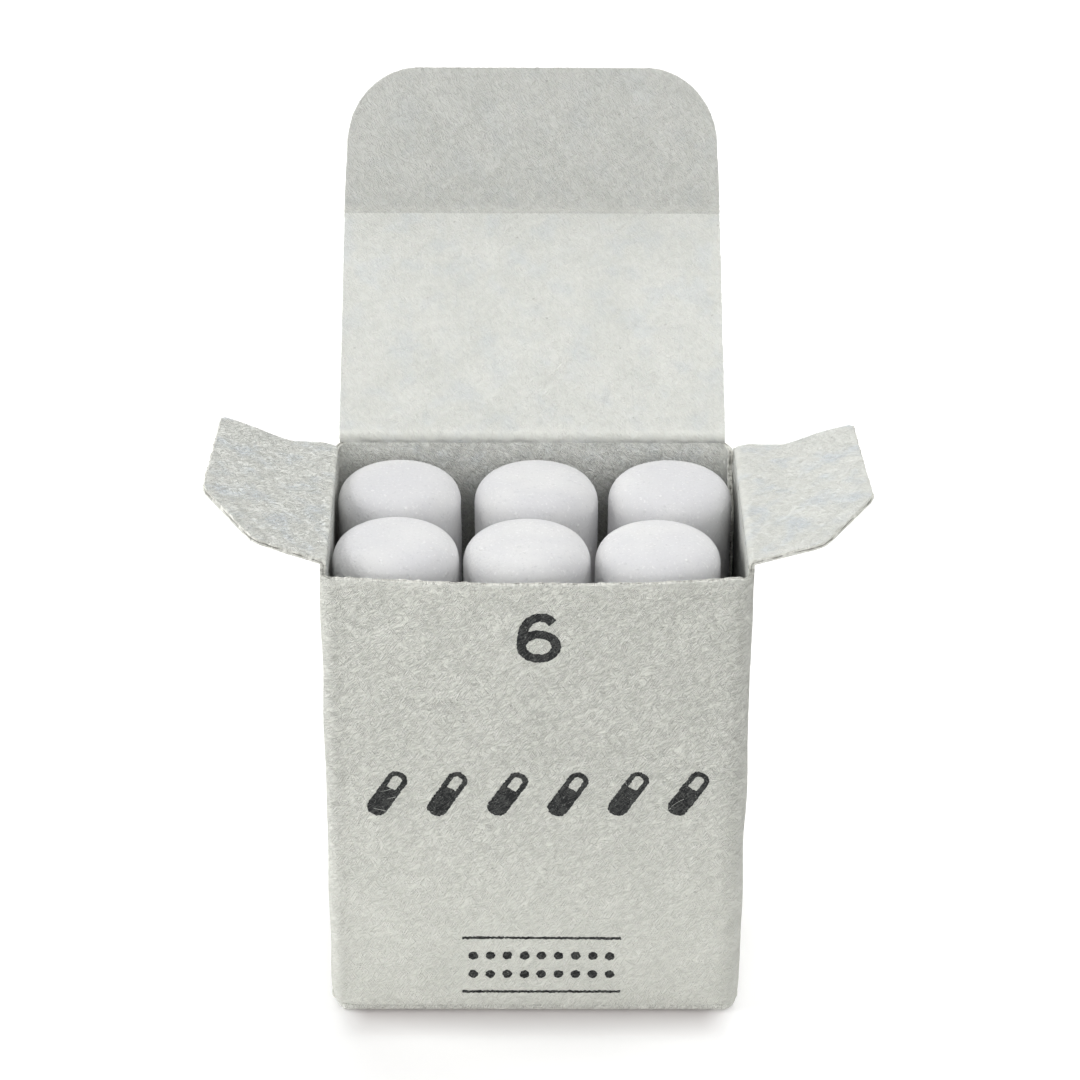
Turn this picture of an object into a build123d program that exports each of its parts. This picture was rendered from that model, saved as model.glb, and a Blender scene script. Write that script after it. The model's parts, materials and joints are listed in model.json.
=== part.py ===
"""Open tuck-top carton of round stick erasers.

The carton is one die-cut blank of grey board, folded and glued at one corner. Frame: X across the
front, front face towards -Y, +Z up, origin at the centre of the carton's base. Millimetres.
"""
from build123d import *
from math import cos, radians, sin
import os

# ---- Driving dimensions -------------------------------------------------------------------------
BOARD = 0.36              # thickness of the grey board
WIDTH = 26.4              # carton, outside, across the front
DEPTH = 17.7              # carton, outside, front to back
FRONT_HEIGHT = 32.0       # cut rim of the front panel
SIDE_CREASE_Z = 32.75     # crease of the two dust flaps
LAYER_GAP = 0.03          # air between boards that lie on each other
CORNER_RADIUS = 0.8       # outside of the four upright folds

LID_WIDTH = 25.1
LID_CENTRE_X = -0.25      # the lid is set away from the glued corner
LID_LEAN = 53.2           # open lid, back from upright
TUCK_WIDTH = 24.6
TUCK_LENGTH = 9.53
TUCK_LEAN = 15.0          # tuck flap on the open lid, back from upright
TUCK_CORNER = 4.8
TOP_TUCK_GAP = 0.05       # between the shut tuck flap and the front panel

DUST_LENGTH = 8.0
DUST_FRONT_Y = -7.95
DUST_BACK_Y = 7.5
DUST_RISE_LEFT = 20.0     # open dust flaps, up from level
DUST_RISE_RIGHT = 16.0

BOTTOM_WIDTH = 24.8
BOTTOM_TUCK_WIDTH = 24.4
BOTTOM_TUCK_HEIGHT = 4.0
BOTTOM_TUCK_CORNER = 1.8
BOTTOM_TUCK_GAP = 0.22    # between the bottom tuck flap and the back panel
FLOOR_FLAP_LENGTH = 12.4  # folded-in bottom flaps, which meet under the erasers
FLOOR_FLAP_BACK_Y = 7.6

CREASE_SETBACK = 0.30     # flat board starts this far from a moving crease's axis
TIGHT_SETBACK = 0.40      # the same at the bottom tuck flap, which folds to a sharp angle
FIXED_BEND = 0.27         # middle radius of a crease that never moves

GLUE_THICKNESS = 0.04
GLUE_FLAP_FRONT_Y = 5.2
GLUE_FLAP_Z = (6.0, 31.0)
GLUE_FLAP_TAPER = 2.0
SEAM_EDGE_Y = 8.55        # cut edge of the right wall, over the glued fold

ERASER_DIAMETER = 7.9
ERASER_EDGE = 1.8         # rounding of both ends
FRONT_ROW_Y = -4.08
BACK_ROW_Y = 3.92
# name: place across the carton, place front to back, cut length
ERASERS = {
    "eraser_front_left": (-8.75, FRONT_ROW_Y, 31.75),
    "eraser_front_middle": (-0.62, FRONT_ROW_Y, 31.66),
    "eraser_front_right": (7.50, FRONT_ROW_Y, 31.58),
    "eraser_back_left": (-8.75, BACK_ROW_Y, 31.75),
    "eraser_back_middle": (0.0, BACK_ROW_Y, 31.75),
    "eraser_back_right": (8.55, BACK_ROW_Y, 31.75),
}

# ---- Worked out from them -----------------------------------------------------------------------
HALF_BOARD = BOARD / 2
HALF_W = WIDTH / 2
HALF_D = DEPTH / 2
PANEL_HALF_W = HALF_W - CORNER_RADIUS
PANEL_HALF_D = HALF_D - CORNER_RADIUS
SEAM_FOLD_X = PANEL_HALF_W - BOARD - GLUE_THICKNESS
LID_CREASE_Z = SIDE_CREASE_Z + BOARD + LAYER_GAP
LID_CREASE_Y = HALF_D - HALF_BOARD
SHUT_TUCK_Y = -HALF_D + BOARD + TOP_TUCK_GAP + HALF_BOARD
LID_LENGTH = LID_CREASE_Y - SHUT_TUCK_Y
BOTTOM_CREASE_Y = -HALF_D + HALF_BOARD
BOTTOM_TUCK_Y = HALF_D - BOARD - BOTTOM_TUCK_GAP - HALF_BOARD
FLOOR_CREASE_Z = HALF_BOARD + BOARD + LAYER_GAP
ERASER_FLOOR_Z = FLOOR_CREASE_Z + HALF_BOARD + LAYER_GAP / 2

os.makedirs("parts", exist_ok=True)


def save(name, shape):
    export_step(shape, f"parts/{name}.step")


def block(x, y, z):
    """A box from its lowest and highest place along each axis."""
    size = [high - low for low, high in (x, y, z)]
    middle = [(high + low) / 2 for low, high in (x, y, z)]
    return Pos(*middle) * Box(*size)


def mirrored(span, side):
    """A span across the carton, on the right (side 1) or the left (side -1)."""
    return tuple(sorted(side * place for place in span))


def bead(start, end):
    """The board's thickness rolled round a moving crease's axis."""
    path = Vector(*end) - Vector(*start)
    rod = Cylinder(HALF_BOARD, path.length, align=(Align.CENTER, Align.CENTER, Align.MIN))
    return Plane(origin=start, z_dir=path) * rod


def sheet(outline, corners, plane):
    """Board cut to an outline drawn on its middle plane; corners is {point index: radius}."""
    face = make_face(Polyline(*outline, close=True))
    for index, radius in corners.items():
        place = Vector(*outline[index])
        nearest = face.vertices().sort_by(lambda v: (Vector(*v) - place).length)[0]
        face = fillet(nearest, radius)
    return extrude(plane * face, amount=HALF_BOARD, both=True)


def along(start, lean, length):
    """The place a board's length away from start, leaning back from upright."""
    return (start[0], start[1] + length * sin(radians(lean)), start[2] + length * cos(radians(lean)))


def crosswise(middle, half):
    """Start and end of a crease that runs across the carton."""
    x, y, z = middle
    return (x - half, y, z), (x + half, y, z)


def leaning_plane(origin, lean):
    """Local X across the carton, local Y up the board."""
    return Plane(origin=origin, x_dir=(1, 0, 0), z_dir=(0, -cos(radians(lean)), sin(radians(lean))))


# ---- Carton walls -------------------------------------------------------------------------------
def carton_walls():
    front_y = (-HALF_D, -HALF_D + BOARD)
    back_y = (HALF_D - BOARD, HALF_D)
    across = (-PANEL_HALF_W, PANEL_HALF_W)
    front_z = (HALF_BOARD + CREASE_SETBACK, FRONT_HEIGHT)
    back_z = (0, LID_CREASE_Z - CREASE_SETBACK)
    save("front_panel", block(across, front_y, front_z))
    save("back_panel", block((-PANEL_HALF_W, SEAM_FOLD_X), back_y, back_z))
    side_z = (FLOOR_CREASE_Z + FIXED_BEND, SIDE_CREASE_Z - CREASE_SETBACK)
    for side, name, back_end in ((-1, "left", PANEL_HALF_D), (1, "right", SEAM_EDGE_Y)):
        wall_x = mirrored((HALF_W - BOARD, HALF_W), side)
        save(f"{name}_side_panel", block(wall_x, (-PANEL_HALF_D, back_end), side_z))


def upright_folds():
    """The four corners, each a quarter of a tube; the seam's one stands inside the right wall."""
    ring = Circle(CORNER_RADIUS) - Circle(CORNER_RADIUS - BOARD)
    for side, across in ((-1, "left"), (1, "right")):
        for facing, depth, z in (
            (-1, "front", (BOARD, FRONT_HEIGHT)),
            (1, "back", (0, SIDE_CREASE_Z - CREASE_SETBACK)),
        ):
            quarter = Rectangle(CORNER_RADIUS, CORNER_RADIUS, align=(Align.MIN, Align.MIN))
            if side < 0:
                quarter = mirror(quarter, about=Plane.YZ)
            if facing < 0:
                quarter = mirror(quarter, about=Plane.XZ)
            fold_x = SEAM_FOLD_X if side > 0 and facing > 0 else side * PANEL_HALF_W
            place = Pos(fold_x, facing * PANEL_HALF_D, z[0])
            fold = place * extrude(ring & quarter, amount=z[1] - z[0], dir=(0, 0, 1))
            save(f"corner_fold_{depth}_{across}", fold)


def glue_seam():
    """The flap inside the right wall that closes the blank into a tube."""
    flap_x = HALF_W - BOARD - GLUE_THICKNESS
    low, high = GLUE_FLAP_Z
    back = PANEL_HALF_D
    outline = [
        (back, low),
        (GLUE_FLAP_FRONT_Y, low + GLUE_FLAP_TAPER),
        (GLUE_FLAP_FRONT_Y, high - GLUE_FLAP_TAPER),
        (back, high),
    ]
    plane = Plane(origin=(flap_x - HALF_BOARD, 0, 0), x_dir=(0, 1, 0), z_dir=(1, 0, 0))
    save("glue_flap", sheet(outline, {}, plane))
    glue_y = (GLUE_FLAP_FRONT_Y + 0.4, PANEL_HALF_D - 0.1)
    glue_z = (low + GLUE_FLAP_TAPER + 0.5, high - GLUE_FLAP_TAPER - 0.5)
    save("glue_line", block((flap_x, flap_x + GLUE_THICKNESS), glue_y, glue_z))


# ---- Bottom -------------------------------------------------------------------------------------
def floor_flaps():
    """The two side flaps folded in over the bottom panel, with their creases."""
    flap_y = (DUST_FRONT_Y, FLOOR_FLAP_BACK_Y)
    flap_z = (FLOOR_CREASE_Z - HALF_BOARD, FLOOR_CREASE_Z + HALF_BOARD)
    bend_x = HALF_W - HALF_BOARD - FIXED_BEND
    bend_z = FLOOR_CREASE_Z + FIXED_BEND
    length = flap_y[1] - flap_y[0]
    ring = Circle(FIXED_BEND + HALF_BOARD) - Circle(FIXED_BEND - HALF_BOARD)
    reach = FIXED_BEND + HALF_BOARD
    for side, name in ((-1, "left"), (1, "right")):
        flap_x = mirrored((bend_x - FLOOR_FLAP_LENGTH, bend_x), side)
        save(f"bottom_dust_flap_{name}", block(flap_x, flap_y, flap_z))
        # seen along the crease: the quarter that is outside and below the bend's centre
        low_corner = (Align.MIN if side > 0 else Align.MAX, Align.MAX)
        quarter = Rectangle(reach, reach, align=low_corner)
        plane = Plane(origin=(side * bend_x, flap_y[1], bend_z), x_dir=(1, 0, 0), z_dir=(0, -1, 0))
        save(f"bottom_dust_crease_{name}", extrude(plane * (ring & quarter), amount=length))


def bottom_closure():
    """The bottom panel, hinged on the front panel, and its tuck flap inside the back panel."""
    half = BOTTOM_WIDTH / 2
    save("front_bottom_crease", bead(*crosswise((0, BOTTOM_CREASE_Y, HALF_BOARD), PANEL_HALF_W)))
    panel_y = (BOTTOM_CREASE_Y + CREASE_SETBACK, BOTTOM_TUCK_Y - TIGHT_SETBACK)
    save("bottom_panel", block((-half, half), panel_y, (0, BOARD)))
    half = BOTTOM_TUCK_WIDTH / 2
    save("bottom_tuck_crease", bead(*crosswise((0, BOTTOM_TUCK_Y, HALF_BOARD), half)))
    top = BOTTOM_TUCK_HEIGHT
    outline = [(-half, TIGHT_SETBACK), (half, TIGHT_SETBACK), (half, top), (-half, top)]
    corners = {2: BOTTOM_TUCK_CORNER, 3: BOTTOM_TUCK_CORNER}
    plane = leaning_plane((0, BOTTOM_TUCK_Y, HALF_BOARD), 0)
    save("bottom_tuck_flap", sheet(outline, corners, plane))


# ---- Lid ----------------------------------------------------------------------------------------
def lid():
    """The lid leaning back, and the tuck flap along its free edge."""
    half = LID_WIDTH / 2
    crease = (LID_CENTRE_X, LID_CREASE_Y, LID_CREASE_Z)
    save("lid_crease", bead(*crosswise(crease, half)))
    end = LID_LENGTH - CREASE_SETBACK
    outline = [(-half, CREASE_SETBACK), (half, CREASE_SETBACK), (half, end), (-half, end)]
    save("lid_panel", sheet(outline, {}, leaning_plane(crease, LID_LEAN)))

    half = TUCK_WIDTH / 2
    fold = along(crease, LID_LEAN, LID_LENGTH)
    save("tuck_crease", bead(*crosswise(fold, half)))
    top = TUCK_LENGTH
    outline = [(-half, CREASE_SETBACK), (half, CREASE_SETBACK), (half, top), (-half, top)]
    corners = {2: TUCK_CORNER, 3: TUCK_CORNER}
    save("tuck_flap", sheet(outline, corners, leaning_plane(fold, TUCK_LEAN)))


# ---- Dust flaps ---------------------------------------------------------------------------------
def dust_flaps():
    """The small flaps along the side walls' top creases, standing open."""
    chamfer_start = 4.6       # along the front edge, out from the crease
    chamfer_end_y = -3.5      # on the outer edge
    back_dip_y = 6.95         # the back edge slants in a little
    back_tip_y = 6.6
    outline = [
        (CREASE_SETBACK, DUST_FRONT_Y),
        (chamfer_start, DUST_FRONT_Y),
        (DUST_LENGTH, chamfer_end_y),
        (DUST_LENGTH, back_tip_y),
        (3.0, back_dip_y),
        (CREASE_SETBACK, DUST_BACK_Y),
    ]
    corners = {1: 0.5, 2: 0.3, 3: 0.3}
    crease_x = HALF_W - HALF_BOARD
    for side, name, rise in ((-1, "left", DUST_RISE_LEFT), (1, "right", DUST_RISE_RIGHT)):
        ends = [(side * crease_x, y, SIDE_CREASE_Z) for y in (DUST_FRONT_Y, DUST_BACK_Y)]
        save(f"dust_crease_{name}", bead(*ends))
        out = (side * cos(radians(rise)), 0, sin(radians(rise)))
        up = (-side * sin(radians(rise)), 0, cos(radians(rise)))
        # local X runs out from the crease; a left-hand flap is drawn with its Y turned over
        drawn = outline if side > 0 else [(x, -y) for x, y in outline]
        plane = Plane(origin=(side * crease_x, 0, SIDE_CREASE_Z), x_dir=out, z_dir=up)
        save(f"dust_flap_{name}", sheet(drawn, corners, plane))


# ---- Erasers ------------------------------------------------------------------------------------
def erasers():
    radius = ERASER_DIAMETER / 2
    for name, (x, y, length) in ERASERS.items():
        stick = Cylinder(radius, length, align=(Align.CENTER, Align.CENTER, Align.MIN))
        ends = stick.edges().filter_by(GeomType.CIRCLE)
        save(name, Pos(x, y, ERASER_FLOOR_Z) * fillet(ends, ERASER_EDGE))


carton_walls()
upright_folds()
glue_seam()
floor_flaps()
bottom_closure()
lid()
dust_flaps()
erasers()
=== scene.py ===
import json
import math

import bmesh
import bpy
import numpy as np
from mathutils import Matrix, Vector


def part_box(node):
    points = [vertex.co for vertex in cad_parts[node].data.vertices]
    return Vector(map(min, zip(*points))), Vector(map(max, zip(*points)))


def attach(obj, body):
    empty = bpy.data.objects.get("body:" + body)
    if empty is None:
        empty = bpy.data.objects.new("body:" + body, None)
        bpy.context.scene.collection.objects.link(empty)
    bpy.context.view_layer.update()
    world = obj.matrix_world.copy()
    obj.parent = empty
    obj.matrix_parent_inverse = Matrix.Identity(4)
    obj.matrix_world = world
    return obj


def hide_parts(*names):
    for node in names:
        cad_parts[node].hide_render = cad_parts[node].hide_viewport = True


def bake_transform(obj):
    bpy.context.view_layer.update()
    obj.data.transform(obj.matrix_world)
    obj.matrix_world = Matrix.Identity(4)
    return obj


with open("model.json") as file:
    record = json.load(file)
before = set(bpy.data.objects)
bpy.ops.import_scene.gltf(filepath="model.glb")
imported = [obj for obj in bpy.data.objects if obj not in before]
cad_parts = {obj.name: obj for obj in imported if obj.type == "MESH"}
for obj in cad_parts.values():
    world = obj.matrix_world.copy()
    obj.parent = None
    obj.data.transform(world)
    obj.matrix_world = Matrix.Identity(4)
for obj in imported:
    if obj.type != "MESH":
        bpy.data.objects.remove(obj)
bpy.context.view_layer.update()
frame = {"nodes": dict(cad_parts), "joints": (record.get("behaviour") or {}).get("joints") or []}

# A small open carton of grey board with six round stick erasers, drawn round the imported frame. Shapes are
# worked out in millimetres and go into Blender in metres. A piece of board is one bent sheet: v runs along
# the blank's line, u across it, and the inner face is the one towards the erasers when the carton is shut.

MM = 0.001
ALONG_X, ALONG_Y, UP = np.eye(3)


def box_mm(node):
    """Lowest and highest corner of a CAD node, in millimetres."""
    low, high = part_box(node)
    return np.array(low) / MM, np.array(high) / MM


HINGE = {j["name"]: np.array(j["pos_m"]) / MM for j in frame["joints"] if "pos_m" in j}
FRONT_LOW, FRONT_HIGH = box_mm("front_panel")
BACK_HIGH = box_mm("back_panel")[1]
LEFT_HIGH = box_mm("left_side_panel")[1]
RIGHT_HIGH = box_mm("right_side_panel")[1]
LID_LOW, LID_HIGH = box_mm("lid_panel")
TUCK_LOW, TUCK_HIGH = box_mm("tuck_flap")
GLUE_LOW, GLUE_HIGH = box_mm("glue_flap")

BOARD = FRONT_HIGH[1] - FRONT_LOW[1]
HALF = BOARD / 2
RIM_Z = FRONT_HIGH[2]
WALL_X = RIGHT_HIGH[0] - HALF          # middle of the side walls' board
FLAT_X = FRONT_HIGH[0]                 # where the front panel meets its corner folds
FLAT_Y = LEFT_HIGH[1]
SEAM_FLAT_X = BACK_HIGH[0]             # the back panel's end at the glued corner
CORNER_ARC = (WALL_X - FLAT_X) * math.pi / 2   # length of an upright fold
SIDE_CREASE_Z = HINGE["dust_fold_left"][2]
LID_CREASE_Z = HINGE["lid_fold"][2]
SETBACK = LID_CREASE_Z - BACK_HIGH[2]  # from a moving crease's axis to flat board
JOIN = SETBACK + 0.12                  # where a flap's piece takes over from the wall's, below the crease
DUST_FRONT_Y, DUST_BACK_Y = (corner[1] for corner in box_mm("dust_crease_left"))

FLOOR_JOIN = 0.1                       # the folded-in flaps' pieces start this far above their folds
FOLD_SETBACK = 0.18                    # the moving creases are this sharp: flat board starts here
EDGE_BULGE = 0.05                      # a cut edge's rounding
EDGE_RAGGED = 0.035                    # how far its fibres stand out of line
CLEAN_CUT = 0.45                       # how rough the lid's and tuck flap's edges are beside the others
FINE = 0.13                            # spacing of the mesh along edges that show
BOW = 0.45                             # the front rim stands this far forward in the middle
RIM_DIP = 0.14                         # and this much lower
FOOT = 0.11                            # the back wall's cut edge keeps its fibres this far off the table
CORNER_TUCK = {"left": 0.30, "right": 0.14}   # how far the front corners' feet are pushed in


# ---- Fields and lines ---------------------------------------------------------------------------
def waves(seed, length, count=28):
    """A smooth random field over a sheet, about -1 to 1, with features of about this length."""
    random = np.random.default_rng(seed)
    heading = random.uniform(0, 2 * np.pi, count)
    pace = 2 * np.pi / length * random.uniform(0.5, 1.5, count)
    phase = random.uniform(0, 2 * np.pi, count)

    def field(u, v):
        total = 0
        for angle, rate, shift in zip(heading, pace, phase):
            total = total + np.cos(rate * (u * np.cos(angle) + v * np.sin(angle)) + shift)
        return total / math.sqrt(2 * count)

    return field


def hill(x, middle, width):
    """A smooth hill of height 1."""
    return np.exp(-(((x - middle) / width) ** 2))


def ease(x, start, end):
    """0 before start, 1 after end, smooth between them."""
    t = np.clip((x - start) / (end - start), 0, 1)
    return t * t * (3 - 2 * t)


def bent_line(start, knots):
    """The board's middle line, seen from its end.

    knots is [(length along the board, degrees of lean from +b towards +a)], and the board bends evenly
    between them. Gives a function of the length: a, b and the lean in radians.
    """
    length, lean = np.array(knots, float).T
    fine = np.linspace(length[0], length[-1], 6001)
    angle = np.radians(np.interp(fine, length, lean))
    step = fine[1] - fine[0]

    def summed(rate, begin):
        return begin + np.concatenate([[0], np.cumsum((rate[1:] + rate[:-1]) / 2)]) * step

    a = summed(np.sin(angle), start[0])
    b = summed(np.cos(angle), start[1])

    def line(v):
        return np.interp(v, fine, a), np.interp(v, fine, b), np.interp(v, fine, angle)

    return line


def fold_arc(setback, degrees):
    """Length of the arc that rounds a fold off, starting setback before its axis."""
    turn = math.radians(abs(degrees))
    return setback / math.tan(turn / 2) * turn


def creased(start, flat, setback, onward, leans):
    """A line that is flat, bends over one crease, and is flat again for the length onward.

    Gives the line, where the crease's middle is along it, and its whole length.
    """
    arc = fold_arc(setback, leans[1] - leans[0])
    length = flat + arc + onward
    knots = [(0, leans[0]), (flat, leans[0]), (flat + arc, leans[1]), (length, leans[1])]
    return bent_line(start, knots), flat + arc / 2, length


def bent_sheet(line, u_axis, a_axis, b_axis, lift=None):
    """Middle surface and inner normals of a sheet that follows a bent line. lift(u, v) warps it inwards."""
    def surface(u, v):
        a, b, lean = line(v)
        normal = -np.cos(lean)[..., None] * a_axis + np.sin(lean)[..., None] * b_axis
        middle = u[..., None] * u_axis + a[..., None] * a_axis + b[..., None] * b_axis
        if lift is not None:
            middle = middle + lift(u, v)[..., None] * normal
        return middle, normal

    return surface


def stations(*stretches):
    """Places along a line: stretches are (start, end, spacing), end to end."""
    parts = [np.linspace(s, e, max(2, round((e - s) / gap) + 1))[:-1] for s, e, gap in stretches]
    return np.concatenate(parts + [[stretches[-1][1]]])


def guarded(lines, gap=0.012):
    """The same lines with one more just inside each end, which keeps the shading flat up to the edge."""
    return np.concatenate([lines[:1], [lines[0] + gap], lines[1:-1], [lines[-1] - gap], lines[-1:]])


# ---- Meshes -------------------------------------------------------------------------------------
def mesh_object(name, points, faces, material, fields=None, smooth=True):
    """A mesh object from points in millimetres. fields are named values at the points, for its material."""
    mesh = bpy.data.meshes.new(name)
    mesh.from_pydata((np.asarray(points) * MM).tolist(), [], faces)
    for key, values in (fields or {}).items():
        values = np.asarray(values, np.float32)
        kind, slot = ("FLOAT_VECTOR", "vector") if values.ndim == 2 else ("FLOAT", "value")
        mesh.attributes.new(key, kind, "POINT").data.foreach_set(slot, values.ravel())
    work = bmesh.new()
    work.from_mesh(mesh)
    bmesh.ops.recalc_face_normals(work, faces=work.faces)
    work.to_mesh(mesh)
    work.free()
    mesh.polygons.foreach_set("use_smooth", [smooth] * len(mesh.polygons))
    mesh.materials.append(material)
    made = bpy.data.objects.new(name, mesh)
    bpy.context.scene.collection.objects.link(made)
    return made


def same(value):
    """The same value all over a sheet."""
    return lambda u, v: 0 * v + value


def ridge(height, middle, width):
    """A smooth ridge across a sheet, at one length v."""
    return lambda u, v: height * hill(v, middle, width)


def cut_sides(*sides, rough=1.0):
    """Which sides of a piece of board are cut edges, and how rough they are."""
    return lambda side, u, v: rough * np.isin(side, sides)


def leaning(degrees, a_axis):
    """The direction that leans from upright towards a_axis."""
    return math.sin(math.radians(degrees)) * a_axis + math.cos(math.radians(degrees)) * UP


def blend_over(made):
    """Bakes a piece's placement into its mesh's points."""
    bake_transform(made)


def grid_quads(rows, columns, first):
    """The faces of a grid of points, numbered row by row from first."""
    at = first + np.arange(rows * columns).reshape(rows, columns)
    return np.stack([at[:-1, :-1], at[:-1, 1:], at[1:, 1:], at[1:, :-1]], -1).reshape(-1, 4)


def outline_of(rows, columns):
    """Row and column of each point round a grid's edge, one way round, and the side it is on."""
    down, across = np.arange(rows), np.arange(columns)
    row = np.concatenate([0 * across, down[1:], 0 * across[1:] + rows - 1, down[-2:0:-1]])
    column = np.concatenate([across, 0 * down[1:] + columns - 1, across[-2::-1], 0 * down[-2:0:-1]])
    side = np.concatenate([0 * across, 0 * down[1:] + 1, 0 * across[1:] + 2, 0 * down[-2:0:-1] + 3])
    return row, column, side


# the cut edge's section: place through the board (-1 outer face, 1 inner face) and bulge
EDGE_SECTION = ((-0.74, 0.72), (-0.3, 1.0), (0.05, 0.5), (0.36, 0.95), (0.78, 0.6))


def board(name, replaced, seed, rows, columns, span, surface, cut, wear=same(0.0), painted_shading=same(0.0),
          inner_painted_shading=None, swell=same(0.0), relief=same(1.0), cool=0.4):
    """A closed piece of board, and what its edge's fibres need. replaced: the CAD nodes that it replaces.

    rows: lengths v. columns: shares 0 to 1 of a row. span(v): the two ends u of each row.
    cut(side, u, v): 1 where the edge is a ragged cut, 0 where it joins another piece; side is 0 at the
    first row, 1 at the high ends, 2 at the last row and 3 at the low ends.
    wear, relief and the painted light and shade for the outer face and, where given, for the inner one:
    functions of u, v for the material; relief is how strongly the fibres stand out. swell(u, v): extra
    thickness of the inner face. cool: how blue the inner face's clouds are.
    """
    random = np.random.default_rng(seed)
    rows, columns = guarded(rows), guarded(columns, 0.0006)
    low, high = span(rows)
    u = low[:, None] + (high - low)[:, None] * columns[None, :]
    v = np.repeat(rows[:, None], len(columns), 1)
    middle, normal = surface(u, v)
    grain = waves(seed + 50, 0.9)(u, v)[..., None] * 0.006
    outer = middle - normal * (HALF + grain)
    inner = middle + normal * (HALF + swell(u, v)[..., None] + grain)

    row, column, side = outline_of(*u.shape)
    ring, ring_normal = middle[row, column], normal[row, column]
    ring_u, ring_v = u[row, column], v[row, column]
    along = np.roll(ring, -1, 0) - np.roll(ring, 1, 0)
    i, j = len(rows) // 2, len(columns) // 2
    facing = np.cross(middle[i, j + 1] - middle[i, j], middle[i + 1, j] - middle[i, j])
    out = np.cross(along, ring_normal) * np.sign(facing @ normal[i, j])
    out /= np.linalg.norm(out, axis=1)[:, None] + 1e-12
    rough = cut(side, ring_u, ring_v)

    def jitter():
        noise = random.normal(size=len(ring))
        return (noise + 0.5 * np.roll(noise, 1) + 0.5 * np.roll(noise, -1)) / 1.3

    shared = jitter()
    layers = []
    for through, bulge in EDGE_SECTION:
        reach = rough * (EDGE_BULGE * bulge + EDGE_RAGGED * (0.45 * shared + 0.55 * jitter()))
        layers.append(ring + ring_normal * HALF * through + out * reach[:, None])

    size, loop = u.size, len(ring)
    points = np.concatenate([outer.reshape(-1, 3), inner.reshape(-1, 3), *layers])
    at_edge = row * len(columns) + column
    levels = [at_edge, *(2 * size + k * loop + np.arange(loop) for k in range(len(layers))), size + at_edge]
    quads = [grid_quads(*u.shape, 0), grid_quads(*u.shape, size)]
    for lower, upper in zip(levels, levels[1:]):
        quads.append(np.stack([lower, np.roll(lower, -1), np.roll(upper, -1), upper], 1))

    def spread(values, at_ring=None, inside=None):
        """One value for every point: the outer face's, the inner face's, then each edge ring's."""
        at_ring = [values[row, column]] * len(layers) if at_ring is None else at_ring
        return np.concatenate([values.ravel(), (values if inside is None else inside).ravel(), *at_ring])

    depth = [np.full(loop, through * HALF) for through, _ in EDGE_SECTION]
    face, edge = np.ones(u.shape), np.ones(loop)
    near = np.zeros(u.shape)
    np.maximum.at(near, (row, column), 0.5 * rough)
    # painted light and shade, for the outer face and, unless the inner face has its own, for the inner face
    # too
    shade = painted_shading(u, v)
    fields = {
        "sheet": np.stack([spread(u), spread(v), spread(-HALF * face, depth, HALF * face)], 1),
        "wear": np.clip(spread(wear(u, v) + near), 0, 1),
        "painted_shading": spread(shade, inside=inner_painted_shading(u, v) if inner_painted_shading else shade),
        "relief": spread(relief(u, v)),
        "inside": spread(0 * face, [(0.5 + 0.5 * through) * edge for through, _ in EDGE_SECTION], face),
        "cut": spread(0 * face, [rough] * len(layers)),
        "cool": np.full(len(points), cool),
    }
    made = mesh_object(name, points, np.concatenate(quads).tolist(), BOARD_GREY, fields)
    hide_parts(*replaced)
    return made, {"point": ring + out * EDGE_BULGE * 0.6, "out": out, "normal": ring_normal, "rough": rough}


def strand(start, heading, bend, length, radius, joints=5, sides=4):
    """Points and faces of one loose fibre, a thin bent rod that narrows to its tip."""
    heading = heading / np.linalg.norm(heading)
    across = np.cross(heading, bend + 1e-6)
    across /= np.linalg.norm(across)
    t = np.linspace(0, 1, joints + 1)[:, None]
    turn = np.linspace(0, 2 * np.pi, sides, endpoint=False)[:, None]
    section = np.cos(turn) * across + np.sin(turn) * np.cross(heading, across)
    centre = start + heading * length * t + bend * length * t * t
    points = centre[:, None] + (radius * (1 - 0.75 * t))[:, None] * section
    at = np.arange((joints + 1) * sides).reshape(-1, sides)
    onward = np.roll(at, -1, 1)
    quads = np.stack([at[:-1], onward[:-1], onward[1:], at[1:]], -1).reshape(-1, 4).tolist()
    return points.reshape(-1, 3), [*quads, at[0, ::-1].tolist(), at[-1].tolist()]


def loose_fibres(name, strands, body):
    """One piece of many strands, which rides on a body."""
    points, faces, first = [], [], 0
    for some, quads in strands:
        points.append(some)
        faces += [[first + k for k in quad] for quad in quads]
        first += len(some)
    made = mesh_object(name, np.concatenate(points), faces, FIBRE)
    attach(made, body)


FUZZ_LOWEST = 1.5         # no fibre stands out near the foot of the carton


def edge_fuzz(name, edge, count, body, seed, longest=0.42):
    """Short fibres that stand out of cut edges."""
    random = np.random.default_rng(seed)
    shown = (edge["rough"] > 0.4) & (edge["point"][:, 2] > FUZZ_LOWEST)
    point, out, normal = (edge[key][shown] for key in ("point", "out", "normal"))
    strands = []
    for k in random.choice(len(point), count, replace=False):
        along = np.cross(out[k], normal[k])
        heading = out[k] * random.uniform(0.35, 1) + along * random.normal() * 0.8
        heading = heading + normal[k] * random.normal() * 0.5
        bend = (along * random.normal() + normal[k] * random.normal()) * 0.35
        start = point[k] + normal[k] * random.uniform(-0.6, 0.6) * HALF - out[k] * 0.06
        length = random.uniform(0.3, 1) * longest
        strands.append(strand(start, heading, bend, length, random.uniform(0.009, 0.016)))
    loose_fibres(name, strands, body)


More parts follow.
